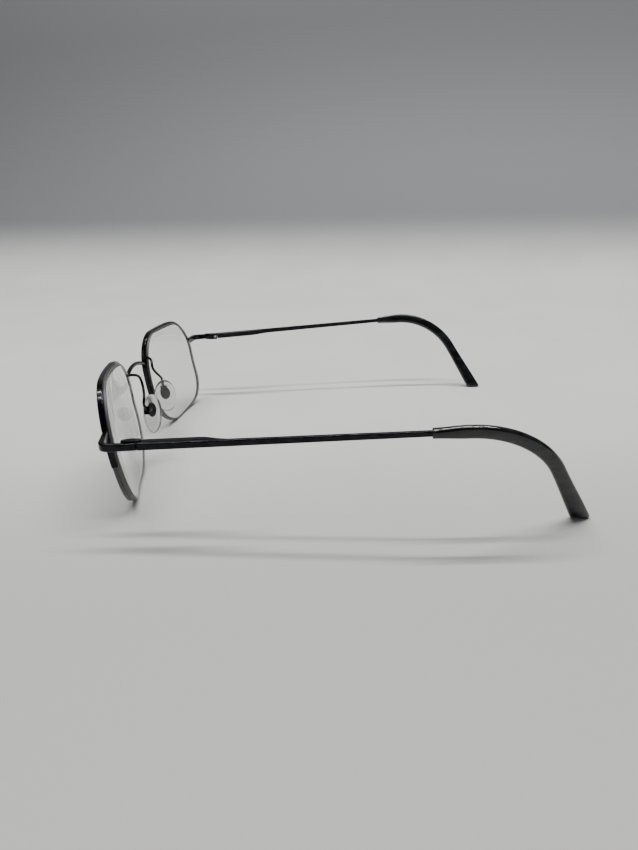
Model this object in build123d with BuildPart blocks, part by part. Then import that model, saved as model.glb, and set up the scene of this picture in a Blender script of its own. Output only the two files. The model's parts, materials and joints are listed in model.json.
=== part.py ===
from build123d import *
from math import cos, radians, sin, sqrt, tan
import os

# Half-rim spectacles, in millimetres and degrees.
# +Z is up, the lenses face -Y, the sides run back to +Y and +X is the wearer's left.
# The frame stands on the lower edges of its lenses and on the ends of its sides, at z = 0.
# Only the left half is drawn; the right half is its mirror image.

# ---- Front: lenses, rims and nylon ----
lens_width = 46.8
lens_height = 40.0
bridge_gap = 25.0              # between the two lenses
lens_spacing = lens_width + bridge_gap
front_radius = 130.0           # front surface of a lens
back_radius = 100.0            # back surface of a lens
centre_thickness = 2.0
pantoscopic_tilt = 7.2         # the top of the lens stands forward
wrap_angle = 9.3               # the temple side of the lens is swept back

top_bow = 0.8                  # how far each side of the lens shape bows out
bottom_bow = 3.0
nasal_bow = 0.2
temporal_bow = 0.4
top_nasal_radius = 12.8        # corners of the lens shape
top_temporal_radius = 16.3
bottom_nasal_radius = 19.2
bottom_temporal_radius = 12.0
top_nasal_drop = 0.6           # how far each corner stands in from the lens's own box
top_temporal_drop = 1.0
top_temporal_inset = 0.5
bottom_nasal_inset = 0.4
corner_share = 0.93            # most of one side that its two corner roundings may take

rim_wall = 0.95                # across the rim, outside the lens edge
rim_depth = 1.9                # front to back
rim_proud = 0.12               # the rim stands this far in front of the lens
rim_rounding = 0.4
rim_nasal_end = -4.1           # height of each rim end above the lens centre
rim_temporal_end = -2.4

groove_width = 0.6
groove_depth = 0.55
groove_behind_front = 1.0      # middle of the groove, behind the front surface
channel_depth = 0.35           # nylon seat in the rim
nylon_gap = 0.03
cord_anchor = 3.5              # how far the cord's ends run up inside the rim
fit_gap = 0.03                 # between the lens and its rim

# ---- Bridge ----
bridge_diameter = 1.5
bridge_height = 9.9            # of its ends above the lens centre
bridge_rise = 2.8              # of its middle above its ends
bridge_forward = 0.8           # of its middle in front of its ends
bridge_behind_front = 1.1
braze_skin = 0.05              # overlap of flat brazed faces
braze_depth = 0.35             # how far brazed wires run into the piece they join

# ---- Nose pads ----
pad_length = 14.6
pad_width = 8.9
pad_thickness = 1.9
pad_centre_out = 11.3          # from the middle of the frame
pad_centre_back = 5.6          # behind the lens centre
pad_centre_drop = 2.5          # below the lens centre
pad_lean = 14.0                # the lower end stands outwards
pad_splay = 21.0               # the back edge stands outwards
pad_rock = 8.0                 # each way about the pad screw
pad_hub_up = 1.5               # screw and plate above the middle of the pad
pad_edge_rounding = 0.75
pad_arm_diameter = 1.0
pad_arm_height = 12.6          # where the arm leaves the rim, above the lens centre
pad_arm_knee_in = 2.9          # the wire's knee, from the pad's centre
pad_arm_knee_forward = 3.0
pad_arm_knee_drop = 3.0        # below the wire's start
pad_arm_shin = 4.4             # where the wire turns down behind the box, above the screw
pad_arm_start = (-0.4, 1, 0)   # the way it leaves the rim
pad_box_length = 3.0
pad_box_width = 2.4
pad_box_height = 2.3
pad_box_wall = 0.45
pad_eye_radius = 0.8
pad_screw_diameter = 0.9
pad_screw_head_diameter = 1.5
pad_screw_head_height = 0.35
pad_plate_length = 5.4
pad_plate_width = 3.8
pad_plate_thickness = 0.5
pad_plate_cover = 0.7          # clear skin between the box side of the pad and its plate

# ---- Hinge and endpiece ----
seam_back = 18.0               # hinge axis behind the lens centre
seam_out = 9.9                 # temple's outer face outside the widest point of the rim
seam_height = 8.8              # middle of the temple at the hinge, above the lens centre
splay = 4.2                    # the sides open outwards
rise = 2.9                     # the sides climb towards the ear
endpiece_wall = 1.5
endpiece_front_height = 2.7
endpiece_rim_height = 8.1      # where it joins the rim, above the lens centre
endpiece_corner_radius = 3.4
endpiece_rounding = 0.45
endpiece_sweep = 2.4           # its front leg runs back this far on its way out
endpiece_top_fall = 0.2
block_length = 4.6             # hinge block, forward of the hinge axis
block_bed = 0.15               # how far its brazed foot runs into the endpiece
seam_gap = 0.03                # beside the hinge axis; it widens outwards
knuckle_radius = 1.0
hinge_height = 2.6
slider_eye_height = 1.0
hinge_screw_diameter = 1.0
screw_head_diameter = 1.7
screw_head_height = 0.3
screw_slot_width = 0.25
running_gap = 0.04             # radial gap of a turning or sliding fit
side_gap = 0.12                # between flat faces that pass each other
flex_angle = 8.0               # the side springs this far past fully open
fold_gap = 0.15                # clear of everything the side swings past

housing_length = 17.0          # back from the hinge axis, before the taper
housing_taper = 8.0
housing_depth = 2.2
housing_height = 2.1
housing_rounding = 0.4
chamber_radius = 0.85
chamber_end_wall = 2.2
rod_radius = 0.4
rod_head_radius = 0.72
rod_head_length = 0.8
spring_travel = 1.0
spring_wire_radius = 0.13
spring_turns = 9
front_wall_thickness = 1.2

# ---- Sides ----
temple_thickness = 1.4
temple_hinge_height = 2.2
temple_end_height = 1.6
temple_rounding = 0.4
bend_start = 107.7             # hinge axis to the corner where the side turns down
bend_angle = 65.0
bend_radius = 28.0
bend_tilt = 21.8               # the turned-down end leans inwards
tip_before_bend = 27.3         # mouth of the plastic tip to that corner
tip_start = bend_start - tip_before_bend
tip_width = 2.5
tip_mouth_height = 2.9
tip_straight_height = 3.9
tip_bend_height = 3.8
tip_end_height = 4.7
tip_rounding = 1.0
tip_end_rounding = 0.6
bend_stations = 4              # places along the bend where the tip's height is set
core_radius = 0.68
core_gap = 0.02
core_short = 5.0               # the core stops this far before the end of the tip

# ---- Lens position, worked out so that the lower edge rests on z = 0 ----


def front_sag(across, up):
    """How far the lens front falls back from its centre at this place."""
    return front_radius - sqrt(front_radius**2 - across**2 - up**2)


lens_centre_z = (
    lens_height / 2 * cos(radians(pantoscopic_tilt))
    - front_sag(0, lens_height / 2) * sin(radians(pantoscopic_tilt))
)

# The core of the side, from the hinge to the floor, measured along its own line.
tilt_back = radians(bend_angle)
fall_per_mm = (
    sin(tilt_back) * cos(radians(bend_tilt)) * cos(radians(rise))
    - cos(tilt_back) * sin(radians(rise))
)
corner_z = lens_centre_z + seam_height + bend_start * sin(radians(rise))
leg_length = corner_z / fall_per_mm
leg_along = cos(tilt_back) * cos(radians(rise))
leg_along += sin(tilt_back) * cos(radians(bend_tilt)) * sin(radians(rise))
leg_inwards = sin(tilt_back) * sin(radians(bend_tilt))
leg_back = leg_along * cos(radians(splay)) + leg_inwards * sin(radians(splay))
frame_back = (
    seam_back
    + bend_start * cos(radians(rise)) * cos(radians(splay))
    + leg_length * leg_back
    + tip_end_height / 2
)
frame_front = 2.8              # how far the rims stand in front of the lens centres
lens_y = -(frame_back - frame_front) / 2

tilt, wrap = radians(pantoscopic_tilt), radians(wrap_angle)
lens_plane = Plane(
    origin=(lens_spacing / 2, lens_y, lens_centre_z),
    x_dir=(cos(wrap), sin(wrap), 0),
    z_dir=(sin(wrap) * cos(tilt), -cos(wrap) * cos(tilt), -sin(tilt)),
)
deep = 12.0                    # deeper than any lens, for cuts right through

# ---- Lens shape ----


def bowed_side(start, end, bow):
    """One side of the lens shape: an arc that stands out to the left of its direction."""
    run = Vector(*end) - Vector(*start)
    middle = (Vector(*start) + Vector(*end)) / 2
    outwards = Vector(-run.Y, run.X).normalized()
    ThreePointArc(start, middle + outwards * bow, end)


def lens_shape():
    """The eight arcs of the lens shape seen square on; +X is its temple side."""
    half_width, half_height = lens_width / 2, lens_height / 2
    mean_drop = (top_nasal_drop + top_temporal_drop) / 2
    top = half_height - top_bow + mean_drop
    bottom = -half_height + bottom_bow
    top_nasal = (-half_width, top - top_nasal_drop)
    top_temporal = (half_width - top_temporal_inset, top - top_temporal_drop)
    bottom_nasal = (-half_width + bottom_nasal_inset, bottom - mean_drop / 2)
    bottom_temporal = (half_width - temporal_bow / 2, bottom + mean_drop / 2)
    side_limit = corner_share * (top_nasal[1] - bottom_nasal[1])
    share = min(
        1.0,
        side_limit / (top_nasal_radius + bottom_nasal_radius),
        side_limit / (top_temporal_radius + bottom_temporal_radius),
        corner_share * lens_width / (bottom_nasal_radius + bottom_temporal_radius),
    )
    with BuildSketch(Plane.XY) as outline:
        with BuildLine():
            bowed_side(top_temporal, top_nasal, -top_bow)
            bowed_side(top_nasal, bottom_nasal, -nasal_bow)
            bowed_side(bottom_nasal, bottom_temporal, -bottom_bow)
            bowed_side(bottom_temporal, top_temporal, -temporal_bow)
        make_face()
        for corner, radius in (
            (top_nasal, top_nasal_radius),
            (top_temporal, top_temporal_radius),
            (bottom_nasal, bottom_nasal_radius),
            (bottom_temporal, bottom_temporal_radius),
        ):
            fillet(outline.vertices().sort_by_distance((*corner, 0))[0], radius * share)
    return outline.sketch.edges()


shape_arcs = lens_shape()


def lens_outline(grow=0.0):
    """Lens shape grown outwards: every arc keeps its centre and gains this much radius."""
    with BuildSketch(Plane.XY) as outline:
        with BuildLine():
            for arc in shape_arcs:
                centre = arc.arc_center
                scale_up = 1 + grow / arc.radius
                ThreePointArc(*[centre + (arc @ share - centre) * scale_up for share in (0, 0.5, 1)])
        make_face()
    return outline.sketch


def outline_edge(height, side):
    """Lens-plane X where the lens shape crosses this height; side is +1 at the temple, -1 at the nose."""
    with BuildSketch(Plane.XY) as strip:
        add(lens_outline())
        with Locations((0, height)):
            Rectangle(2 * lens_width, fit_gap, mode=Mode.INTERSECT)
    box = strip.sketch.bounding_box()
    return box.max.X if side > 0 else box.min.X


def rim_point(height, side, behind_front):
    """A point in the middle of the rim's wall, this far behind the lens's front surface."""
    across = outline_edge(height, side) + side * rim_wall / 2
    depth = -front_sag(across, height) - behind_front
    return lens_plane.from_local_coords((across, height, depth))


def edge_band(outer_grow, inner_grow, front_depth, back_depth):
    """A closed band that follows the lens edge, between two depths behind the front surface."""
    with BuildPart() as band:
        with BuildSketch(lens_plane):
            add(lens_outline(outer_grow))
            add(lens_outline(inner_grow), mode=Mode.SUBTRACT)
        extrude(amount=deep, both=True)
        with Locations(lens_plane.offset(-front_radius).location):
            Sphere(front_radius - front_depth, rotation=(90, 0, 0), mode=Mode.INTERSECT)
            Sphere(front_radius - back_depth, rotation=(90, 0, 0), mode=Mode.SUBTRACT)
    return band.part


def zone_above(nasal_height, temporal_height):
    """Everything in the lens plane above a line between two heights, at its two sides."""
    reach = lens_width
    slope = (temporal_height - nasal_height) / lens_width
    with BuildPart() as zone:
        with BuildSketch(lens_plane):
            with BuildLine():
                Polyline(
                    (-reach, nasal_height - slope * (reach - lens_width / 2)),
                    (reach, temporal_height + slope * (reach - lens_width / 2)),
                    (reach, 2 * lens_height),
                    (-reach, 2 * lens_height),
                    close=True,
                )
            make_face()
        extrude(amount=deep, both=True)
    return zone.part


def channel_zone():
    """Band from inside the lens edge out to the bottom of the rim's channel."""
    return edge_band(channel_depth + nylon_gap, -rim_depth, -rim_depth, 2 * rim_depth)


groove_front = groove_behind_front - groove_width / 2
groove_back = groove_behind_front + groove_width / 2


def make_lens():
    with BuildPart() as lens:
        with BuildSketch(lens_plane):
            add(lens_outline())
        extrude(amount=deep, both=True)
        with Locations(lens_plane.offset(-front_radius).location):
            Sphere(front_radius, rotation=(90, 0, 0), mode=Mode.INTERSECT)
        with Locations(lens_plane.offset(-centre_thickness - back_radius).location):
            Sphere(back_radius, rotation=(90, 0, 0), mode=Mode.SUBTRACT)
        add(edge_band(rim_wall, -groove_depth, groove_front, groove_back), mode=Mode.SUBTRACT)
    return lens


def on_outer_wall(edge):
    """True for the long edges of a rim that face away from the lens."""
    middle = lens_plane.to_local_coords(edge @ 0.5)
    along = edge % 0.5
    inside = lens_outline(rim_wall / 2).faces()[0].is_inside(Vector(middle.X, middle.Y, 0))
    return not inside and abs(along.dot(lens_plane.z_dir)) < 0.5


def make_rim():
    with BuildPart() as rim:
        add(edge_band(rim_wall, fit_gap, -rim_proud, rim_depth - rim_proud))
        fillet(rim.edges().filter_by(on_outer_wall), rim_rounding)
        add(edge_band(channel_depth, -groove_depth, groove_front, groove_back), mode=Mode.SUBTRACT)
        add(zone_above(rim_nasal_end, rim_temporal_end), mode=Mode.INTERSECT)
    return rim


def nylon_band(outer_grow):
    return edge_band(
        outer_grow - nylon_gap,
        -groove_depth + nylon_gap,
        groove_front + nylon_gap,
        groove_back - nylon_gap,
    )


def make_rim_liner():
    """Nylon strip that fills the rim's channel and the lens groove under the rim."""
    above = cord_anchor + nylon_gap
    with BuildPart() as liner:
        add(nylon_band(channel_depth))
        add(zone_above(rim_nasal_end + above, rim_temporal_end + above), mode=Mode.INTERSECT)
    return liner


def make_lens_cord():
    """Nylon cord in the groove under the bare edge; both ends run up into the rim."""
    with BuildPart() as cord:
        add(nylon_band(0))
        add(
            zone_above(rim_nasal_end + cord_anchor, rim_temporal_end + cord_anchor),
            mode=Mode.SUBTRACT,
        )
    return cord


# ---- Bridge ----


def make_bridge():
    """Round bar arched between the rims, its ends cut clear of the nylon channels."""
    end = rim_point(bridge_height, -1, bridge_behind_front)
    middle = Vector(0, end.Y - bridge_forward, end.Z + bridge_rise)
    with BuildPart() as bridge_bar:
        with BuildLine() as bar_line:
            ThreePointArc(end, middle, Vector(-end.X, end.Y, end.Z))
        with BuildSketch(Plane(origin=bar_line.line @ 0, z_dir=bar_line.line % 0)):
            Circle(bridge_diameter / 2)
        sweep()
        seat = channel_zone()
        add(seat, mode=Mode.SUBTRACT)
        mirror(seat, about=Plane.YZ, mode=Mode.SUBTRACT)
    return bridge_bar


# ---- Nose pads ----
# Pad frame: x runs up the pad, z faces the nose and the origin is the middle of its box side.

lean, pad_turn = radians(pad_lean), radians(pad_splay)
pad_up = Vector(-sin(lean), 0, cos(lean))
pad_face = Vector(-cos(pad_turn) * cos(lean), sin(pad_turn), -cos(pad_turn) * sin(lean))
pad_plane = Plane(
    origin=(pad_centre_out, lens_y + pad_centre_back, lens_centre_z - pad_centre_drop),
    x_dir=pad_up,
    z_dir=pad_face,
)
# Screw frame: z lies along the pad screw and y points to the pad. The gap in front of the
# box leaves room for the pad to rock until its back would meet the box's corner.
box_back = pad_eye_radius + side_gap + pad_box_wall
box_front = pad_box_height - box_back
screw_depth = box_front + pad_box_length / 2 * tan(radians(pad_rock)) + side_gap
pad_hub = pad_plane.origin + pad_up * pad_hub_up
screw_plane = Plane(
    origin=pad_hub - pad_face * screw_depth,
    x_dir=pad_up,
    z_dir=pad_up.cross(pad_face),
)
lug_width = pad_box_width - 2 * pad_box_wall - 2 * side_gap


def pad_plate(grow):
    """The plate moulded into the pad, grown all round by a gap."""
    with BuildPart() as plate:
        with BuildSketch(pad_plane.offset(pad_plate_cover - grow)):
            with Locations((pad_hub_up, 0)):
                Ellipse(pad_plate_length / 2 + grow, pad_plate_width / 2 + grow)
        extrude(amount=pad_plate_thickness + 2 * grow)
    return plate.part


def make_nose_pad():
    """Clear oval, hollow inside for the plate and slotted for the plate's lug."""
    with BuildPart() as pad:
        with BuildSketch(pad_plane):
            Ellipse(pad_length / 2, pad_width / 2)
        extrude(amount=pad_thickness)
        fillet(pad.edges(), pad_edge_rounding)
        add(pad_plate(nylon_gap), mode=Mode.SUBTRACT)
        with BuildSketch(pad_plane):
            with Locations((pad_hub_up, 0)):
                Rectangle(2 * (pad_eye_radius + nylon_gap), lug_width + 2 * nylon_gap)
        extrude(amount=pad_plate_cover, mode=Mode.SUBTRACT)
    return pad


def make_pad_insert():
    """Plate inside the pad and the drilled lug that stands out of it into the box."""
    lug_length = screw_depth + pad_plate_cover + pad_plate_thickness / 2
    with BuildPart() as insert:
        add(pad_plate(0))
        with BuildSketch(screw_plane):
            Circle(pad_eye_radius)
            with Locations((0, lug_length / 2)):
                Rectangle(2 * pad_eye_radius, lug_length)
            Circle(pad_screw_diameter / 2 + running_gap, mode=Mode.SUBTRACT)
        extrude(amount=lug_width / 2, both=True)
    return insert


def make_pad_box():
    """Two cheeks and a back wall, open towards the pad."""
    with BuildPart() as box:
        with BuildSketch(screw_plane):
            with Locations((0, (box_front - box_back) / 2)):
                Rectangle(pad_box_length, pad_box_height)
        extrude(amount=pad_box_width / 2, both=True)
        with BuildSketch(screw_plane):
            with Locations((0, pad_box_height + pad_box_wall - box_back)):
                Rectangle(2 * pad_box_length, 2 * pad_box_height)
        extrude(amount=pad_box_width / 2 - pad_box_wall, both=True, mode=Mode.SUBTRACT)
        with BuildSketch(screw_plane):
            Circle(pad_screw_diameter / 2 + core_gap)
        extrude(amount=pad_box_width, both=True, mode=Mode.SUBTRACT)
    return box


def make_pad_screw():
    """Small slotted screw through both cheeks of the box."""
    head_bottom = pad_box_width / 2 + nylon_gap
    with BuildPart() as screw:
        with BuildSketch(screw_plane.offset(-pad_box_width / 2)):
            Circle(pad_screw_diameter / 2)
        extrude(amount=pad_box_width / 2 + head_bottom + pad_screw_head_height / 2)
        with BuildSketch(screw_plane.offset(head_bottom)):
            Circle(pad_screw_head_diameter / 2)
        extrude(amount=pad_screw_head_height)
        with BuildSketch(screw_plane.offset(head_bottom + pad_screw_head_height)):
            Rectangle(2 * pad_screw_head_diameter, screw_slot_width)
        extrude(amount=-pad_screw_head_height / 2, mode=Mode.SUBTRACT)
    return screw


def make_pad_arm():
    """Wire from the back of the rim, in and back, then down and out to the pad box."""
    start = rim_point(pad_arm_height, -1, rim_depth - rim_proud - braze_depth)
    landing = screw_plane.from_local_coords((0, braze_depth - box_back, 0))
    shin = screw_plane.from_local_coords((pad_arm_shin, -box_back - pad_arm_diameter, 0))
    knee = Vector(
        pad_centre_out - pad_arm_knee_in,
        lens_y + pad_centre_back - pad_arm_knee_forward,
        start.Z - pad_arm_knee_drop,
    )
    with BuildPart() as arm:
        with BuildLine() as wire:
            Spline(start, knee, shin, landing, tangents=(pad_arm_start, pad_face - pad_up))
        with BuildSketch(Plane(origin=wire.line @ 0, z_dir=wire.line % 0)):
            Circle(pad_arm_diameter / 2)
        sweep()
    return arm


# ---- Endpiece and hinge ----
# Hinge frame: x runs back along the side, y inwards and z up; its origin is on the hinge screw.

rim_edge = rim_point(endpiece_rim_height, 1, rim_depth / 2)
axis_to_outer = knuckle_radius + side_gap + temple_thickness
axis_to_inner = axis_to_outer - temple_thickness
open_side = radians(splay)
outwards = Vector(cos(open_side), -sin(open_side), 0)
backwards = Vector(sin(open_side), cos(open_side), 0)
outer_face_x = lens_spacing / 2 + lens_width / 2 * cos(wrap) + rim_wall + seam_out
hinge_origin = Vector(
    outer_face_x - axis_to_outer * cos(open_side),
    lens_y + seam_back,
    lens_centre_z + seam_height,
)
hinge_plane = Plane(origin=hinge_origin, x_dir=backwards, z_dir=(0, 0, 1))
climb = backwards * cos(radians(rise)) + Vector(0, 0, sin(radians(rise)))
temple_plane = Plane(origin=hinge_origin, x_dir=climb, z_dir=outwards.cross(climb))


def make_endpiece():
    """Lug that leaves the rim sideways, turns the corner and runs back to the hinge."""
    rim_joint = hinge_plane.to_local_coords(rim_edge)
    front_x = rim_joint.X - endpiece_wall / 2
    outer_y = -axis_to_outer
    corner_x = front_x + endpiece_sweep
    seam_half = temple_hinge_height / 2
    front_half = endpiece_front_height / 2
    with BuildPart() as lug:
        with BuildSketch(hinge_plane):
            with BuildLine():
                outer = FilletPolyline(
                    (front_x, rim_joint.Y),
                    (corner_x, outer_y),
                    (0, outer_y),
                    radius=endpiece_corner_radius,
                )
                inner = FilletPolyline(
                    (front_x + endpiece_wall, rim_joint.Y),
                    (corner_x + endpiece_wall, outer_y + endpiece_wall),
                    (0, outer_y + endpiece_wall),
                    radius=endpiece_corner_radius - endpiece_wall,
                )
                Line(outer @ 0, inner @ 0)
                Line(outer @ 1, inner @ 1)
            make_face()
        extrude(amount=endpiece_front_height * 2, both=True)
        with BuildSketch(Plane(origin=hinge_origin, x_dir=backwards, z_dir=outwards)):
            with BuildLine():
                top = Spline(
                    (front_x - endpiece_wall, rim_joint.Z + front_half),
                    (corner_x, rim_joint.Z + front_half - endpiece_top_fall),
                    (0, seam_half),
                    tangents=((1, 0), (1, tan(radians(rise)))),
                )
                bottom = Spline(
                    (front_x - endpiece_wall, rim_joint.Z - front_half),
                    (corner_x, rim_joint.Z - front_half),
                    (0, -seam_half),
                    tangents=((1, 0), (1, tan(radians(rise)))),
                )
                Line(top @ 0, bottom @ 0)
                Line(top @ 1, bottom @ 1)
            make_face()
        extrude(amount=lens_width, both=True, mode=Mode.INTERSECT)
        long_edges = lug.edges().filter_by(lambda edge: edge.length > endpiece_wall * 2)
        fillet(long_edges, endpiece_rounding)
        add(channel_zone(), mode=Mode.SUBTRACT)
    return lug


def turning_hole(radius):
    """Round cut right through on the hinge screw's axis."""
    with BuildPart() as hole:
        with BuildSketch(hinge_plane):
            Circle(radius)
        extrude(amount=hinge_height, both=True)
    return hole.part


def make_hinge_block():
    """Two round ears on a foot that is brazed to the inside of the endpiece."""
    foot_y = endpiece_wall - axis_to_outer - block_bed
    slot_half = slider_eye_height / 2 + side_gap
    half = hinge_height / 2
    with BuildPart() as block:
        with BuildSketch(hinge_plane):
            Circle(knuckle_radius)
            with BuildLine():
                Polyline(
                    (-block_length, foot_y),
                    (-side_gap, foot_y),
                    (-side_gap, knuckle_radius),
                    (-block_length / 2, knuckle_radius),
                    (-block_length, foot_y + knuckle_radius),
                    close=True,
                )
            make_face()
        extrude(amount=half, both=True)
        with BuildSketch(hinge_plane):
            with Locations((knuckle_radius, 0)):
                Rectangle(2 * (2 * knuckle_radius + side_gap), 4 * axis_to_outer)
        extrude(amount=slot_half, both=True, mode=Mode.SUBTRACT)
        add(turning_hole(hinge_screw_diameter / 2 + core_gap), mode=Mode.SUBTRACT)
        with BuildSketch(hinge_plane.offset(half - screw_head_height - core_gap)):
            Circle(screw_head_diameter / 2 + core_gap)
        extrude(amount=hinge_height, mode=Mode.SUBTRACT)
    return block


def make_hinge_screw():
    """Slotted screw, its head let into the upper ear."""
    half = hinge_height / 2
    head_bottom = half - screw_head_height
    with BuildPart() as screw:
        with BuildSketch(hinge_plane.offset(-half)):
            Circle(hinge_screw_diameter / 2)
        extrude(amount=hinge_height - screw_head_height)
        with BuildSketch(hinge_plane.offset(head_bottom)):
            Circle(screw_head_diameter / 2)
        extrude(amount=screw_head_height)
        with BuildSketch(hinge_plane.offset(half)):
            Rectangle(2 * screw_head_diameter, screw_slot_width)
        extrude(amount=-screw_head_height / 2, mode=Mode.SUBTRACT)
    return screw


def rod_plane(distance):
    """Square across the rod, this far behind the hinge axis."""
    place = temple_plane.from_local_coords((distance, 0, 0))
    return Plane(origin=place, x_dir=temple_plane.y_dir, z_dir=climb)


housing_front = knuckle_radius + fold_gap + side_gap
chamber_front = housing_front + front_wall_thickness
chamber_back = housing_length - chamber_end_wall
rod_head_front = chamber_back - spring_travel - rod_head_length - side_gap


def make_hinge_slider():
    """Eye that turns on the hinge screw, with a rod and stop that slide in the housing."""
    rod_start = (knuckle_radius + hinge_screw_diameter / 2) / 2
    with BuildPart() as slider:
        with BuildSketch(hinge_plane):
            Circle(knuckle_radius)
        extrude(amount=slider_eye_height / 2, both=True)
        with BuildSketch(rod_plane(rod_start)):
            Circle(rod_radius)
        extrude(amount=rod_head_front + rod_head_length - rod_start)
        with BuildSketch(rod_plane(rod_head_front)):
            Circle(rod_head_radius)
        extrude(amount=rod_head_length)
        add(turning_hole(hinge_screw_diameter / 2 + running_gap), mode=Mode.SUBTRACT)
    return slider


def make_hinge_spring():
    """Coil spring round the rod, between the housing's front wall and the rod's stop."""
    coil_radius = (rod_radius + chamber_radius) / 2
    start = chamber_front + spring_wire_radius + core_gap
    length = rod_head_front - start - spring_wire_radius - core_gap
    with BuildPart() as spring:
        with BuildLine() as coil:
            Helix(
                pitch=length / spring_turns,
                height=length,
                radius=coil_radius,
                center=rod_plane(start).origin,
                direction=climb,
            )
        with BuildSketch(Plane(origin=coil.line @ 0, z_dir=coil.line % 0)):
            Circle(spring_wire_radius)
        sweep(is_frenet=True)
    return spring


def make_spring_housing():
    """Case on the inner side of the temple, bored for the rod and its spring."""
    base_y = -axis_to_inner - braze_skin
    top_y = housing_depth - axis_to_inner
    end_x = housing_length + housing_taper
    with BuildPart() as housing:
        with BuildSketch(temple_plane):
            with BuildLine():
                Polyline(
                    (end_x, base_y + fold_gap),
                    (end_x, base_y),
                    (housing_front, base_y),
                    (housing_front, top_y),
                    (housing_length, top_y),
                )
                Spline(
                    (housing_length, top_y),
                    (end_x, base_y + fold_gap),
                    tangents=((1, 0), (1, -0.1)),
                )
            make_face()
        extrude(amount=housing_height / 2, both=True)
        long_edges = housing.edges().filter_by(lambda edge: edge.length > housing_height * 1.5)
        inner_edges = long_edges.filter_by(
            lambda edge: temple_plane.to_local_coords(edge @ 0.5).Y > base_y + 2 * fold_gap
        )
        fillet(inner_edges, housing_rounding)
        with BuildSketch(rod_plane(0)):
            Circle(rod_radius + running_gap)
        extrude(amount=chamber_front + side_gap, mode=Mode.SUBTRACT)
        with BuildSketch(rod_plane(chamber_front)):
            Circle(chamber_radius)
        extrude(amount=chamber_back - chamber_front, mode=Mode.SUBTRACT)
    return housing


# ---- Sides ----
# Temple line: starts beside the hinge screw in the middle of the side's thickness.
# The turned-down end lies in a plane of its own, tipped inwards about that line.

line_origin = hinge_origin + outwards * (axis_to_outer - temple_thickness / 2)
side_up = temple_plane.z_dir
side_plane = Plane(origin=line_origin, x_dir=climb, z_dir=outwards)
tip_plane = Plane(
    origin=line_origin,
    x_dir=climb,
    z_dir=outwards * cos(radians(bend_tilt)) - side_up * sin(radians(bend_tilt)),
)
turn = radians(bend_angle)
bend_tangent = bend_radius * tan(turn / 2)
bend_first = bend_start - bend_tangent
bend_last = bend_first + bend_radius * turn
tip_last = bend_last + leg_length - bend_tangent


def tip_line(distance):
    """Place and downward angle of the temple line in the tip plane."""
    if distance < bend_first:
        return (distance, 0.0), 0.0
    angle = min((distance - bend_first) / bend_radius, turn)
    rest = max(distance - bend_last, 0)
    x = bend_first + bend_radius * sin(angle) + rest * cos(angle)
    y = -bend_radius * (1 - cos(angle)) - rest * sin(angle)
    return (x, y), angle


def tip_side(distance, height):
    """Point on the upper (positive) or lower side of the tip."""
    (x, y), angle = tip_line(distance)
    return (x + sin(angle) * height / 2, y + cos(angle) * height / 2)


def core_line(start, end):
    """Middle of the core wire between two distances from the hinge axis."""
    return FilletPolyline(
        tip_line(start)[0],
        (bend_start, 0),
        tip_line(end)[0],
        radius=bend_radius,
    )


def core_wire(radius, start, end):
    with BuildPart() as wire:
        with BuildLine(tip_plane) as middle:
            core_line(start, end)
        with BuildSketch(Plane(origin=middle.line @ 0, z_dir=middle.line % 0)):
            Circle(radius)
        sweep()
    return wire.part


def make_temple():
    """Slim bar from the hinge to the tip, then a round core wire inside the tip."""
    half_hinge, half_end = temple_hinge_height / 2, temple_end_height / 2
    wedge = tan(radians(flex_angle)) * axis_to_outer * 2
    with BuildPart() as temple:
        with BuildSketch(side_plane):
            with BuildLine():
                Polyline(
                    (0, half_hinge),
                    (tip_start, half_end),
                    (tip_start, -half_end),
                    (0, -half_hinge),
                    close=True,
                )
            make_face()
        extrude(amount=temple_thickness / 2, both=True)
        fillet(temple.edges().filter_by(lambda edge: edge.length > tip_start / 2), temple_rounding)
        with BuildSketch(hinge_plane):
            with BuildLine():
                Polyline(
                    (-side_gap, 0),
                    (seam_gap, 0),
                    (seam_gap + wedge, -2 * axis_to_outer),
                    (-side_gap, -2 * axis_to_outer),
                    close=True,
                )
            make_face()
        extrude(amount=temple_hinge_height, both=True, mode=Mode.SUBTRACT)
        add(core_wire(core_radius, tip_start - core_short, tip_last - core_short))
    return temple


def make_temple_tip():
    """Plastic sleeve that bends down behind the ear and ends in a flat foot."""
    past_floor = tip_last + tip_end_height
    bend_step = (bend_last - bend_first) / bend_stations
    stations = [(tip_start, tip_mouth_height), (bend_first - tip_width, tip_straight_height)]
    for count in range(1, bend_stations + 1):
        stations.append((bend_first + bend_step * count, tip_bend_height))
    stations.append((past_floor, tip_end_height))
    with BuildPart() as tip:
        with BuildSketch(tip_plane):
            with BuildLine():
                upper = Spline([tip_side(place, height) for place, height in stations])
                lower = Spline([tip_side(place, -height) for place, height in stations])
                Line(upper @ 0, lower @ 0)
                Line(upper @ 1, lower @ 1)
            make_face()
        extrude(amount=tip_width / 2, both=True)
        fillet(tip.edges().filter_by(lambda edge: edge.length > tip_width * 3), tip_rounding)
        split(bisect_by=Plane.XY, keep=Keep.TOP)
        foot = tip.faces().sort_by(Axis.Z)[0]
        fillet(foot.edges(), tip_end_rounding)
        core_end = tip_last - core_short + core_gap
        add(core_wire(core_radius + core_gap, tip_start - core_short, core_end), mode=Mode.SUBTRACT)
    return tip


# ---- Write every piece ----

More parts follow.
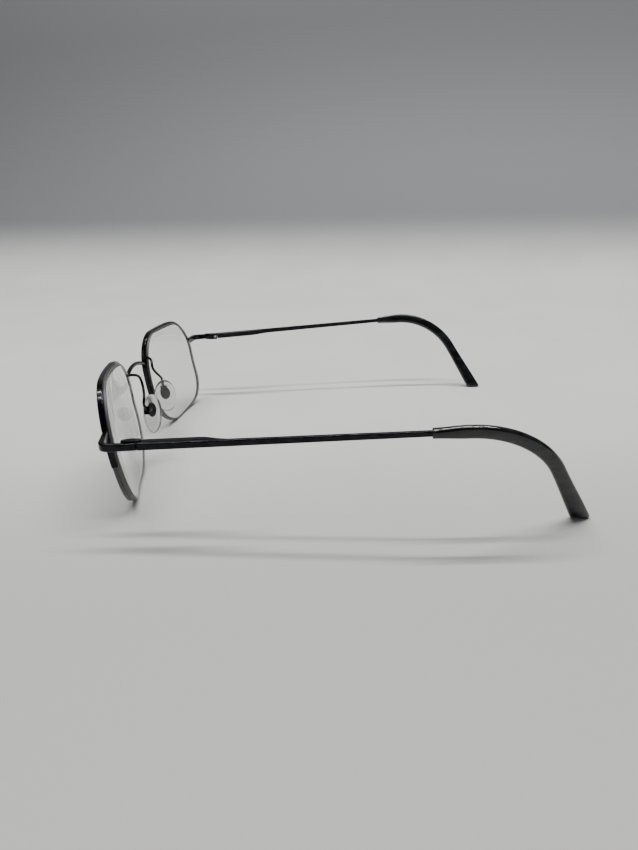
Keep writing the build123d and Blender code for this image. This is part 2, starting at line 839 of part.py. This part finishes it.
paired_pieces = {
    "lens": make_lens,
    "rim": make_rim,
    "rim_liner": make_rim_liner,
    "lens_cord": make_lens_cord,
    "pad_arm": make_pad_arm,
    "pad_box": make_pad_box,
    "pad_screw": make_pad_screw,
    "pad_insert": make_pad_insert,
    "nose_pad": make_nose_pad,
    "endpiece": make_endpiece,
    "hinge_block": make_hinge_block,
    "hinge_screw": make_hinge_screw,
    "hinge_slider": make_hinge_slider,
    "hinge_spring": make_hinge_spring,
    "spring_housing": make_spring_housing,
    "temple": make_temple,
    "temple_tip": make_temple_tip,
}


def mirrored(piece):
    """The right-hand twin of a left-hand piece."""
    with BuildPart() as twin:
        mirror(piece.part, about=Plane.YZ)
    return twin


def write(piece, name):
    piece.part.label = name
    export_step(piece.part, f"parts/{name}.step")


if __name__ == "__main__":
    os.makedirs("parts", exist_ok=True)
    write(make_bridge(), "bridge")
    for kind, make_piece in paired_pieces.items():
        left_piece = make_piece()
        write(left_piece, f"left_{kind}")
        write(mirrored(left_piece), f"right_{kind}")
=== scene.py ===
import json
from math import cos, pi, radians, sin, sqrt, tan

import bmesh
import bpy
from mathutils import Matrix, Vector


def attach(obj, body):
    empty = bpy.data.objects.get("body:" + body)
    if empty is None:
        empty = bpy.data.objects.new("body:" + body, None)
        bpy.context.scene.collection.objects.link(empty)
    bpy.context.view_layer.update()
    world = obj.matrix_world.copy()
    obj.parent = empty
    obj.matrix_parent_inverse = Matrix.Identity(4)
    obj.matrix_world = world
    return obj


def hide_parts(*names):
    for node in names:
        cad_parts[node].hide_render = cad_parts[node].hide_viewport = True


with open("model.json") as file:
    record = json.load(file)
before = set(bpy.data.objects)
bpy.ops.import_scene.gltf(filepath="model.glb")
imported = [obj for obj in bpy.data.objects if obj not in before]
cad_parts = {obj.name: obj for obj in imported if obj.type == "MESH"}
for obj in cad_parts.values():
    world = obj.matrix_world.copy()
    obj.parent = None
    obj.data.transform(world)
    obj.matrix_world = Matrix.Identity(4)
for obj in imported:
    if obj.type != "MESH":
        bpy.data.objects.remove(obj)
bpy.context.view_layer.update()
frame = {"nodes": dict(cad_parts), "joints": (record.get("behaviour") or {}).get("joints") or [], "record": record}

# Half-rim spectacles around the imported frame, in metres: materials for the metalwork, and
# finer meshes for the lenses, nylon cords, nose pads and plastic tips.
# +Z is up, the lenses face -Y, the sides run back to +Y and +X is the wearer's left.

MM = 0.001
SIDES = {"left": 1, "right": -1}
joints = {joint["name"]: joint for joint in frame["joints"]}

# ---- Sizes shared with the frame, in millimetres and degrees ----
lens_spacing = 71.8
lens_height = 40.0
front_radius = 130.0
back_radius = 100.0
centre_thickness = 2.0
pantoscopic_tilt = 7.2
wrap_angle = 9.3
groove_behind_front = 1.0
cord_radius = 0.3
cord_depth = 0.27              # middle of the cord inside the lens edge
rim_nasal_end = -4.1
rim_temporal_end = -2.4

seam_back = 18.0
splay = 4.2
rise = 2.9
knuckle_radius = 1.0
side_gap = 0.12
temple_thickness = 1.4
axis_to_middle = knuckle_radius + side_gap + temple_thickness / 2
bend_start = 107.7
bend_angle = 65.0
bend_radius = 28.0
bend_tilt = 21.8
tip_start = 80.4
tip_width = 2.5
tip_mouth_height = 2.9
tip_straight_height = 4.1
tip_end_height = 5.3

pad_length = 14.6
pad_width = 8.9
pad_thickness = 1.9
pad_centre_out = 11.3
pad_centre_back = 5.6
pad_centre_drop = 2.5
pad_lean = 14.0
pad_splay = 21.0

hinge = Vector(joints["left_fold"]["pos_m"]) / MM
lens_y = hinge.y - seam_back
half_height = lens_height / 2
sag_at_edge = front_radius - sqrt(front_radius**2 - half_height**2)
tilt, wrap = radians(pantoscopic_tilt), radians(wrap_angle)
lens_centre_z = half_height * cos(tilt) - sag_at_edge * sin(tilt)

# ---- Camera ----
camera_place = Vector((219.59, lens_y + 69.05, 91.79)) * MM
camera_azimuth = 90.3
camera_elevation = 21.21
camera_roll = -1.58
camera_focal = 25.19           # for the 36 mm side of the sensor


def make_camera():
    """Camera at the viewing angle: it stands at the wearer's left and looks across the frame."""
    azimuth, elevation = radians(camera_azimuth), radians(camera_elevation)
    back = Vector((sin(azimuth) * cos(elevation), -cos(azimuth) * cos(elevation), sin(elevation)))
    right = (-back).cross(Vector((0, 0, 1))).normalized()
    up = right.cross(-back)
    roll = Matrix.Rotation(radians(camera_roll), 3, back)
    turned = Matrix((roll @ right, roll @ up, back)).transposed()
    camera = bpy.data.objects.new("camera", bpy.data.cameras.new("camera"))
    camera.data.lens = camera_focal
    camera.data.clip_start = 0.005
    camera.matrix_world = Matrix.Translation(camera_place) @ turned.to_4x4()
    bpy.context.scene.collection.objects.link(camera)
    bpy.context.scene.camera = camera


# ---- Studio, in metres ----
floor_front = 1.6
floor_back = -0.36
sweep_radius = 0.30
sweep_steps = 12
wall_height = 1.1
wall_turn = -15.0              # the wall comes nearer towards the back of the spectacles
floor_half = 2.2
wall_shade_height = 0.07
table_painted_shade_start = -0.03       # painted shade: the table's colour darkens towards the camera in place of the light falling off there
table_painted_shade_end = 0.11


def make_floor():
    """Pale table top that turns up into a plain wall behind the spectacles."""
    profile = [(floor_front, 0.0)]
    for step in range(sweep_steps + 1):
        angle = step / sweep_steps * pi / 2
        profile.append((floor_back - sweep_radius * sin(angle), sweep_radius * (1 - cos(angle))))
    profile.append((floor_back - sweep_radius, wall_height))
    bm = bmesh.new()
    rows = [[bm.verts.new((x, y, z)) for x, z in profile] for y in (-floor_half, floor_half)]
    for near, far in zip(zip(rows[0], rows[0][1:]), zip(rows[1], rows[1][1:])):
        bm.faces.new((near[0], near[1], far[1], far[0]))
    bmesh.ops.recalc_face_normals(bm, faces=bm.faces)
    turned = Matrix.Rotation(radians(wall_turn), 3, "Z")
    bmesh.ops.rotate(bm, verts=bm.verts, cent=(0, 0, 0), matrix=turned)
    floor = finish_mesh(bm, "studio_floor", [floor_material()])


lamp_height = 1.3
tube_length = 1.6
tube_width = 0.03
tube_colour = (1.0, 0.99, 0.97)
above_power = 12.5
beyond_power = 16.5
window_size = (0.9, 0.7)
window_power = 1.6
window_colour = (0.97, 0.99, 1.0)
surround_colour = (0.93, 0.96, 1.0, 1)
surround_strength = 0.12


def add_area(name, place, target, size, power, colour):
    """Rectangular soft light; target is the place that it shines at."""
    light = bpy.data.lights.new(name, "AREA")
    light.shape = "RECTANGLE"
    light.size, light.size_y = size
    light.energy = power
    light.color = colour
    lamp = bpy.data.objects.new(name, light)
    lamp.location = place
    lamp.rotation_euler = (Vector(target) - Vector(place)).to_track_quat("-Z", "Y").to_euler()
    bpy.context.scene.collection.objects.link(lamp)


def make_lights():
    """Two long tubes overhead, a broad window light and an even surround."""
    world = bpy.data.worlds.new("studio")
    world.use_nodes = True
    surround = world.node_tree.nodes["Background"]
    surround.inputs["Color"].default_value = surround_colour
    surround.inputs["Strength"].default_value = surround_strength
    bpy.context.scene.world = world
    above = (0.07, 0.0, lamp_height)
    beyond = (-0.30, 0.0, lamp_height)
    window = (0.9, -1.0, 0.9)
    under = (above[0], 0.0, 0.0)
    middle = (0.0, 0.0, 0.0)
    add_area("tube_above", above, under, (tube_width, tube_length), above_power, tube_colour)
    add_area("tube_beyond", beyond, middle, (tube_length, tube_width), beyond_power, tube_colour)
    add_area("window", window, middle, window_size, window_power, window_colour)


# ---- Materials ----


def new_material(name):
    """Fresh material with its node tree and its main shader."""
    material = bpy.data.materials.new(name)
    material.use_nodes = True
    tree = material.node_tree
    return material, tree, tree.nodes["Principled BSDF"]


def spread(tree, size, detail=3.0, stretch=(1, 1, 1), roughness=0.5):
    """Noise over the object's own coordinates; size is that of one patch, in millimetres."""
    place = tree.nodes.new("ShaderNodeTexCoord")
    mapping = tree.nodes.new("ShaderNodeMapping")
    mapping.inputs["Scale"].default_value = stretch
    pattern = tree.nodes.new("ShaderNodeTexNoise")
    pattern.inputs["Scale"].default_value = 1 / (size * MM)
    pattern.inputs["Detail"].default_value = detail
    pattern.inputs["Roughness"].default_value = roughness
    tree.links.new(place.outputs["Object"], mapping.inputs["Vector"])
    tree.links.new(mapping.outputs["Vector"], pattern.inputs["Vector"])
    return pattern.outputs["Fac"]


def ramp(tree, value, low, high, span=(0.35, 0.65)):
    """Two colours mixed by a value."""
    mix = tree.nodes.new("ShaderNodeValToRGB")
    mix.color_ramp.elements[0].position, mix.color_ramp.elements[1].position = span
    mix.color_ramp.elements[0].color = (*low, 1)
    mix.color_ramp.elements[1].color = (*high, 1)
    tree.links.new(value, mix.inputs["Fac"])
    return mix.outputs["Color"]


def remap(tree, value, low, high):
    """A value of about 0.3 to 0.7 turned into one between low and high."""
    change = tree.nodes.new("ShaderNodeMapRange")
    change.inputs["From Min"].default_value = 0.3
    change.inputs["From Max"].default_value = 0.7
    change.inputs["To Min"].default_value = low
    change.inputs["To Max"].default_value = high
    tree.links.new(value, change.inputs["Value"])
    return change.outputs["Result"]


def bump(tree, shader, height, depth, strength=1.0):
    """Raises the surface by a height pattern; depth is in millimetres."""
    relief = tree.nodes.new("ShaderNodeBump")
    relief.inputs["Strength"].default_value = strength
    relief.inputs["Distance"].default_value = depth * MM
    tree.links.new(height, relief.inputs["Height"])
    tree.links.new(relief.outputs["Normal"], shader.inputs["Normal"])


def plated_metal(name, dark, light, smooth, rough, coat):
    """Polished dark plating: slightly cloudy, with fine polishing marks and rubbed patches."""
    material, tree, shader = new_material(name)
    shader.inputs["Metallic"].default_value = 1.0
    shader.inputs["Coat Weight"].default_value = coat
    shader.inputs["Coat Roughness"].default_value = 0.06
    cloud = spread(tree, 2.2, 4.0)
    marks = spread(tree, 0.25, 2.0, stretch=(1.0, 0.12, 1.0))
    tree.links.new(ramp(tree, cloud, dark, light), shader.inputs["Base Color"])
    tree.links.new(remap(tree, marks, smooth, rough), shader.inputs["Roughness"])
    bump(tree, shader, marks, 0.004, 0.35)
    return material


def faded(tree, colour, other, axis, start, end):
    """A colour that turns smoothly into another between two places along one of the axes."""
    place = tree.nodes.new("ShaderNodeTexCoord")
    split = tree.nodes.new("ShaderNodeSeparateXYZ")
    share = tree.nodes.new("ShaderNodeMapRange")
    share.interpolation_type = "SMOOTHSTEP"
    share.inputs["From Min"].default_value = start
    share.inputs["From Max"].default_value = end
    mix = tree.nodes.new("ShaderNodeMix")
    mix.data_type = "RGBA"
    mix.inputs["B"].default_value = (*other, 1)
    tree.links.new(place.outputs["Object"], split.inputs["Vector"])
    tree.links.new(split.outputs[axis], share.inputs["Value"])
    tree.links.new(share.outputs["Result"], mix.inputs["Factor"])
    tree.links.new(colour, mix.inputs["A"])
    return mix.outputs["Result"]


def floor_material():
    """Matt pale laminate, with painted shade darkening it towards the camera, that turns into the grey of the
    wall.
    """
    material, tree, shader = new_material("pale_table")
    shader.inputs["Specular IOR Level"].default_value = 0.25
    cloud = spread(tree, 60.0, 3.0)
    grain = spread(tree, 0.8, 2.0)
    table = ramp(tree, cloud, (0.66, 0.665, 0.65), (0.70, 0.70, 0.69))
    # painted shade: the table colour fades to a darker grey towards the camera, standing in for the light that
    # falls off there
    near = faded(tree, table, (0.49, 0.492, 0.487), "X", table_painted_shade_start, table_painted_shade_end)
    wall = faded(tree, near, (0.195, 0.20, 0.21), "Z", 0.0, wall_shade_height)
    tree.links.new(wall, shader.inputs["Base Color"])
    tree.links.new(remap(tree, grain, 0.5, 0.62), shader.inputs["Roughness"])
    bump(tree, shader, grain, 0.02, 0.15)
    return material


def lens_material():
    """Clear hard-coated lens with the faintest smears."""
    material, tree, shader = new_material("clear_lens")
    shader.inputs["Transmission Weight"].default_value = 1.0
    shader.inputs["IOR"].default_value = 1.5
    smears = spread(tree, 9.0, 5.0, stretch=(1.0, 1.0, 0.4))
    tint = ramp(tree, smears, (0.87, 0.895, 0.88), (0.90, 0.92, 0.905))
    tree.links.new(tint, shader.inputs["Base Color"])
    tree.links.new(remap(tree, smears, 0.0, 0.025), shader.inputs["Roughness"])
    return material


def ground_edge_material():
    """Frosted ground edge with fine grit marks."""
    material, tree, shader = new_material("ground_edge")
    shader.inputs["Transmission Weight"].default_value = 0.12
    shader.inputs["IOR"].default_value = 1.5
    grit = spread(tree, 0.12, 3.0)
    grey = ramp(tree, grit, (0.055, 0.058, 0.056), (0.15, 0.155, 0.15))
    tree.links.new(grey, shader.inputs["Base Color"])
    tree.links.new(remap(tree, grit, 0.38, 0.6), shader.inputs["Roughness"])
    bump(tree, shader, grit, 0.02, 0.4)
    return material


def nylon_material():
    """Nylon line, half clear."""
    material, tree, shader = new_material("nylon")
    shader.inputs["Transmission Weight"].default_value = 0.8
    shader.inputs["IOR"].default_value = 1.53
    cloud = spread(tree, 0.9, 2.0)
    grey = ramp(tree, cloud, (0.30, 0.31, 0.30), (0.45, 0.46, 0.45))
    tree.links.new(grey, shader.inputs["Base Color"])
    tree.links.new(remap(tree, cloud, 0.12, 0.24), shader.inputs["Roughness"])
    return material


def silicone_material():
    """Clear soft pad, a little hazy with use."""
    material, tree, shader = new_material("clear_silicone")
    shader.inputs["Transmission Weight"].default_value = 0.93
    shader.inputs["IOR"].default_value = 1.41
    haze = spread(tree, 1.6, 4.0)
    tint = ramp(tree, haze, (0.80, 0.80, 0.77), (0.90, 0.90, 0.88))
    tree.links.new(tint, shader.inputs["Base Color"])
    tree.links.new(remap(tree, haze, 0.08, 0.22), shader.inputs["Roughness"])
    bump(tree, shader, haze, 0.02, 0.2)
    return material


def smoke_material():
    """Dark translucent plastic, polished, with soft streaks along the sleeve."""
    material, tree, shader = new_material("smoke_plastic")
    shader.inputs["Transmission Weight"].default_value = 0.5
    shader.inputs["IOR"].default_value = 1.49
    shader.inputs["Coat Weight"].default_value = 0.1
    shader.inputs["Coat Roughness"].default_value = 0.04
    streaks = spread(tree, 1.1, 4.0, stretch=(1.0, 0.18, 0.5))
    scuffs = spread(tree, 0.4, 3.0)
    smoke = ramp(tree, streaks, (0.0015, 0.0016, 0.002), (0.03, 0.031, 0.037), span=(0.42, 0.66))
    tree.links.new(smoke, shader.inputs["Base Color"])
    bump(tree, shader, streaks, 0.12, 0.5)
    tree.links.new(remap(tree, scuffs, 0.05, 0.14), shader.inputs["Roughness"])
    return material


# Each metal: its darker and lighter colour, least and most roughness, and its lacquer.
metals = {
    "dark_metal": ((0.007, 0.007, 0.009), (0.020, 0.020, 0.023), 0.12, 0.22, 0.15),
    "screw_steel": ((0.10, 0.10, 0.105), (0.2, 0.2, 0.205), 0.22, 0.36, 0.0),
    "insert_steel": ((0.006, 0.006, 0.006), (0.014, 0.014, 0.013), 0.3, 0.5, 0.0),
    "spring_steel": ((0.42, 0.42, 0.43), (0.55, 0.55, 0.56), 0.2, 0.32, 0.0),
}


def make_materials():
    """Every material of the spectacles, by the name of its slot in the record."""
    made = {name: plated_metal(name, *look) for name, look in metals.items()}
    made["clear_lens"] = lens_material()
    made["ground_edge"] = ground_edge_material()
    made["nylon"] = nylon_material()
    made["clear_silicone"] = silicone_material()
    made["smoke_plastic"] = smoke_material()
    return made


# ---- Mesh helpers ----


def finish_mesh(bm, name, coats):
    """Turns a bmesh into an object with these materials and smooth shading."""
    mesh = bpy.data.meshes.new(name)
    bm.to_mesh(mesh)
    bm.free()
    for coat in coats:
        mesh.materials.append(coat)
    mesh.shade_smooth()
    piece = bpy.data.objects.new(name, mesh)
    bpy.context.scene.collection.objects.link(piece)
    return piece


def tube(bm, rings, coats=None):
    """Closed skin over rings of points; coats has the material number from each ring to the next."""
    loops = [[bm.verts.new(point) for point in ring] for ring in rings]
    for place, (first, second) in enumerate(zip(loops, loops[1:])):
        count = len(first)
        for corner in range(count):
            after = (corner + 1) % count
            face = bm.faces.new((first[corner], first[after], second[after], second[corner]))
            if coats:
                face.material_index = coats[place]
    bm.faces.new(loops[0])
    bm.faces.new(loops[-1])
    bmesh.ops.recalc_face_normals(bm, faces=bm.faces)


def on_side(point, side):
    """A left-hand point in millimetres, placed on its own side in metres."""
    return Vector((point[0] * side, point[1], point[2])) * MM


# ---- Lenses ----
lens_centre = Vector((lens_spacing / 2, lens_y, lens_centre_z))
lens_across = Vector((cos(wrap), sin(wrap), 0))
lens_front = Vector((sin(wrap) * cos(tilt), -cos(wrap) * cos(tilt), -sin(tilt)))
lens_up = lens_front.cross(lens_across)
rim_steps = 288


def lens_point(across, up, behind):
    """Point of the left lens: behind is the depth behind the front surface there."""
    sag = front_radius - sqrt(front_radius**2 - across**2 - up**2)
    return lens_centre + lens_across * across + lens_up * up - lens_front * (sag + behind)


def lens_thickness(across, up):
    """Front to back of the lens at this place."""
    squared = across**2 + up**2
    front = front_radius - sqrt(front_radius**2 - squared)
    back = centre_thickness + back_radius - sqrt(back_radius**2 - squared)
    return back - front


def lens_radii():
    """Distance from the lens centre to its edge, all round, read from the frame's own lens."""
    flat = []
    for vertex in frame["nodes"]["left_lens"].data.vertices:
        away = Vector(vertex.co) / MM - lens_centre
        flat.append((away.dot(lens_across), away.dot(lens_up)))
    flat.sort()
    hull = []
    for points in (flat, flat[::-1]):
        chain = []
        for point in points:
            while len(chain) > 1 and turns_right(chain[-2], chain[-1], point):
                chain.pop()
            chain.append(point)
        hull += chain[:-1]
    radii = []
    for step in range(rim_steps):
        angle = 2 * pi * step / rim_steps
        radii.append(max(edge_crossing(hull[i - 1], hull[i], angle) for i in range(len(hull))))
    return radii


def turns_right(first, second, third):
    """True if the third point isn't to the left of the line from the first to the second."""
    run = (second[0] - first[0], second[1] - first[1])
    step = (third[0] - first[0], third[1] - first[1])
    return run[0] * step[1] - run[1] * step[0] <= 0


def edge_crossing(start, end, angle):
    """Distance along a ray from the centre to one edge of the outline, or 0 if it misses."""
    ray = (cos(angle), sin(angle))
    run = (end[0] - start[0], end[1] - start[1])
    spin = ray[0] * run[1] - ray[1] * run[0]
    if abs(spin) < 1e-9:
        return 0.0
    along = (start[0] * run[1] - start[1] * run[0]) / spin
    share = (start[0] * ray[1] - start[1] * ray[0]) / spin
    return along if 0 <= share <= 1 and along > 0 else 0.0


def smoothed(values, passes=2):
    """A closed run of values, each averaged with its neighbours."""
    for _ in range(passes):
        after = values[1:] + values[:1]
        before = values[-1:] + values[:-1]
        values = [(a + 2 * b + c) / 4 for a, b, c in zip(before, values, after)]
    return values


edge_radii = smoothed(lens_radii())
lens_rings = 18
edge_bevel = 0.25
groove_half = 0.34
groove_deep = 0.5
groove_steps = 6
polished, ground = 0, 1
cord_corners = 12
cord_anchor = 2.0              # the cord's ends run this far up inside the rim


def edge_angle(step):
    """Direction from the lens centre to this step of its edge."""
    return 2 * pi * step / rim_steps


def make_lens(side_name, side, coats):
    """Meniscus lens: two polished faces, bevelled corners and a ground edge with its groove."""

    def ring(behind, inset=0.0, share=1.0, from_back=False):
        """Ring inside the edge, this far behind the front surface, or ahead of the back one."""
        points = []
        for step, radius in enumerate(edge_radii):
            reach = (radius - inset) * share
            across, up = reach * cos(edge_angle(step)), reach * sin(edge_angle(step))
            depth = lens_thickness(across, up) - behind if from_back else behind
            points.append(on_side(lens_point(across, up, depth), side))
        return points

    shares = [(count + 1) / lens_rings for count in range(lens_rings)]
    rings = [ring(0.0, edge_bevel, share) for share in shares]
    rings.append(ring(edge_bevel))
    for count in range(groove_steps + 1):
        round_groove = pi * count / groove_steps
        behind = groove_behind_front - groove_half * cos(round_groove)
        rings.append(ring(behind, groove_deep * sin(round_groove)))
    rings.append(ring(edge_bevel, from_back=True))
    edge_strips = len(rings) - lens_rings + 1
    rings += [ring(0.0, edge_bevel, share, from_back=True) for share in reversed(shares)]
    face_strips = [polished] * (lens_rings - 1)
    bm = bmesh.new()
    tube(bm, rings, face_strips + [ground] * edge_strips + face_strips)
    bmesh.ops.triangulate(bm, faces=[face for face in bm.faces if len(face.verts) > 4])
    piece = finish_mesh(bm, f"{side_name}_lens_blank", coats)
    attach(piece, "front")
    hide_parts(f"{side_name}_lens")


def make_cord(side_name, side, coat):
    """Round nylon cord in the groove, from one end of the rim round the bare edge to the other."""
    heights = [radius * sin(edge_angle(step)) for step, radius in enumerate(edge_radii)]
    path = []
    for step in range(rim_steps // 2, rim_steps + rim_steps // 2):
        step %= rim_steps
        nasal = cos(edge_angle(step)) < 0
        limit = (rim_nasal_end if nasal else rim_temporal_end) + cord_anchor
        if heights[step] < limit:
            reach = edge_radii[step] - cord_depth
            across, up = reach * cos(edge_angle(step)), reach * sin(edge_angle(step))
            path.append(lens_point(across, up, groove_behind_front))
    rings = []
    for place, point in enumerate(path):
        along = (path[min(place + 1, len(path) - 1)] - path[max(place - 1, 0)]).normalized()
        out = along.cross(lens_front).normalized()
        deep = along.cross(out)
        ring = []
        for corner in range(cord_corners):
            angle = 2 * pi * corner / cord_corners
            ring.append(on_side(point + (out * cos(angle) + deep * sin(angle)) * cord_radius, side))
        rings.append(ring)
    bm = bmesh.new()
    tube(bm, rings)
    piece = finish_mesh(bm, f"{side_name}_nylon_cord", [coat])
    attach(piece, "front")
    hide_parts(f"{side_name}_lens_cord")


# ---- Nose pads ----
pad_ring = 64
pad_crown = 0.35               # the face stands out this much at its middle
pad_back_gap = 0.02            # its back stands this far inside the frame's own pad
pad_side_share = 0.94          # keeps the wider end within the width
pad_egg = 0.06                 # wider towards the top
face_rings = 8
edge_rings = 12


def make_pad(side_name, side, coat):
    """Soft oval pad with a crowned face, a rolled edge and a flatter back."""
    lean, turned = radians(pad_lean), radians(pad_splay)
    up = Vector((-sin(lean), 0, cos(lean)))
    face = Vector((-cos(turned) * cos(lean), sin(turned), -cos(turned) * sin(lean)))
    across = face.cross(up)
    centre = Vector((pad_centre_out, lens_y + pad_centre_back, lens_centre_z - pad_centre_drop))
    half_edge = (pad_thickness - pad_crown) / 2

    def ring(inset, height):
        points = []
        for step in range(pad_ring):
            angle = 2 * pi * step / pad_ring
            along = (pad_length / 2 - inset) * cos(angle)
            wide = (pad_width / 2 - inset) * sin(angle) * (1 + pad_egg * cos(angle)) * pad_side_share
            points.append(on_side(centre + up * along + across * wide + face * height, side))
        return points

    rings = []
    for count in range(1, face_rings):
        share = count / face_rings
        inset = (pad_width / 2 - half_edge) * (1 - share) + half_edge
        rings.append(ring(inset, pad_back_gap))
    for count in range(edge_rings + 1):
        angle = -pi / 2 + pi * count / edge_rings
        rings.append(ring(half_edge * (1 - cos(angle)), half_edge * (1 + sin(angle)) + pad_back_gap))
    for count in range(1, face_rings):
        share = count / face_rings
        inset = half_edge + (pad_width / 2 - half_edge) * share
        crown = pad_crown * (1 - (1 - share) ** 2)
        rings.append(ring(inset, 2 * half_edge + crown))
    bm = bmesh.new()
    tube(bm, rings)
    piece = finish_mesh(bm, f"{side_name}_soft_pad", [coat])
    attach(piece, f"{side_name}_pad")
    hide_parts(f"{side_name}_nose_pad")


# ---- Plastic tips ----
open_side = radians(splay)
outwards = Vector((cos(open_side), -sin(open_side), 0))
backwards = Vector((sin(open_side), cos(open_side), 0))
climb = backwards * cos(radians(rise)) + Vector((0, 0, sin(radians(rise))))
line_start = hinge + outwards * axis_to_middle
side_up = outwards.cross(climb)
tip_up = side_up * cos(radians(bend_tilt)) + outwards * sin(radians(bend_tilt))
tip_out = outwards * cos(radians(bend_tilt)) - side_up * sin(radians(bend_tilt))
turn = radians(bend_angle)
bend_tangent = bend_radius * tan(turn / 2)
bend_first = bend_start - bend_tangent
bend_last = bend_first + bend_radius * turn
tip_step = 0.8
tip_ring = 40
tip_square = 2.7               # 2 is an ellipse, more is squarer
tip_end_rounding = 1.1
tip_end_steps = 6
mouth_rounding = 0.35
mouth_steps = 5
foot_blend_steps = 4


def tip_line(distance):
    """Place and direction of the side's own line, this far from the hinge."""
    angle = min(max((distance - bend_first) / bend_radius, 0.0), turn)
    straight = min(distance, bend_first)
    rest = max(distance - bend_last, 0.0)
    x = straight + bend_radius * sin(angle) + rest * cos(angle)
    y = -bend_radius * (1 - cos(angle)) - rest * sin(angle)
    place = line_start + climb * x + tip_up * y
    return place, climb * cos(angle) - tip_up * sin(angle)


def eased(start, end, share):
    """A value on its way from start to end, slow at both ends."""
    share = min(max(share, 0.0), 1.0)
    return start + (end - start) * share * share * (3 - 2 * share)


def tip_height(distance, last):
    """Height of the sleeve's section: it grows to the bend and again to the end."""
    if distance < bend_first:
        share = (distance - tip_start) / (bend_first - tip_start)
        return eased(tip_mouth_height, tip_straight_height, share)
    return eased(tip_straight_height, tip_end_height, (distance - bend_last) / (last - bend_last))


def tip_section(place, along, height, inset):
    """Rounded rectangular ring square across the line."""
    above = tip_out.cross(along)
    ring = []
    for corner in range(tip_ring):
        angle = 2 * pi * corner / tip_ring
        wide = abs(cos(angle)) ** (2 / tip_square) * (1 if cos(angle) > 0 else -1)
        high = abs(sin(angle)) ** (2 / tip_square) * (1 if sin(angle) > 0 else -1)
        sideways = tip_out * wide * (tip_width / 2 - inset)
        ring.append(place + sideways + above * high * (height / 2 - inset))
    return ring


def make_tip(side_name, side, coat):
    """Sleeve from its mouth over the bend down to a flat foot with rolled edges."""
    bend_end, down = tip_line(bend_last)
    last = bend_last + bend_end.z / -down.z
    rings = []
    for count in range(mouth_steps + 1):
        angle = pi / 2 * count / mouth_steps
        place, along = tip_line(tip_start + mouth_rounding * (1 - cos(angle)))
        rings.append(tip_section(place, along, tip_mouth_height, mouth_rounding * (1 - sin(angle))))
    sleeve_start = tip_start + mouth_rounding
    sleeve_length = last - tip_end_height - sleeve_start
    steps = int(sleeve_length / tip_step)
    for count in range(1, steps + 1):
        distance = sleeve_start + sleeve_length * count / steps
        place, along = tip_line(distance)
        rings.append(tip_section(place, along, tip_height(distance, last), 0.0))

    def foot_ring(inset, height):
        """Level ring of the end section, this high above the table."""
        place = tip_line(last)[0]
        ring = tip_section(place, down, tip_height(last, last), inset)
        return [point + down * ((height - point.z) / down.z) for point in ring]

    top_of_foot = foot_ring(0.0, tip_end_rounding)
    before = rings[-1]
    for count in range(1, foot_blend_steps):
        share = count / foot_blend_steps
        rings.append([above.lerp(below, share) for above, below in zip(before, top_of_foot)])
    for count in range(tip_end_steps + 1):
        angle = pi / 2 * count / tip_end_steps
        rings.append(foot_ring(tip_end_rounding * (1 - cos(angle)), tip_end_rounding * (1 - sin(angle))))
    bm = bmesh.new()
    tube(bm, [[on_side(point, side) for point in ring] for ring in rings])
    piece = finish_mesh(bm, f"{side_name}_tip_sleeve", [coat])
    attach(piece, f"{side_name}_side")
    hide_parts(f"{side_name}_temple_tip")


# ---- Everything ----

materials = make_materials()
for entry in frame["record"]["subparts"]:
    kept = frame["nodes"][entry["node"]]
    kept.data.materials.clear()
    kept.data.materials.append(materials[entry["material_slot"]])

make_camera()
make_floor()
make_lights()
for side_name, side in SIDES.items():
    make_lens(side_name, side, [materials["clear_lens"], materials["ground_edge"]])
    make_cord(side_name, side, materials["nylon"])
    make_pad(side_name, side, materials["clear_silicone"])
    make_tip(side_name, side, materials["smoke_plastic"])
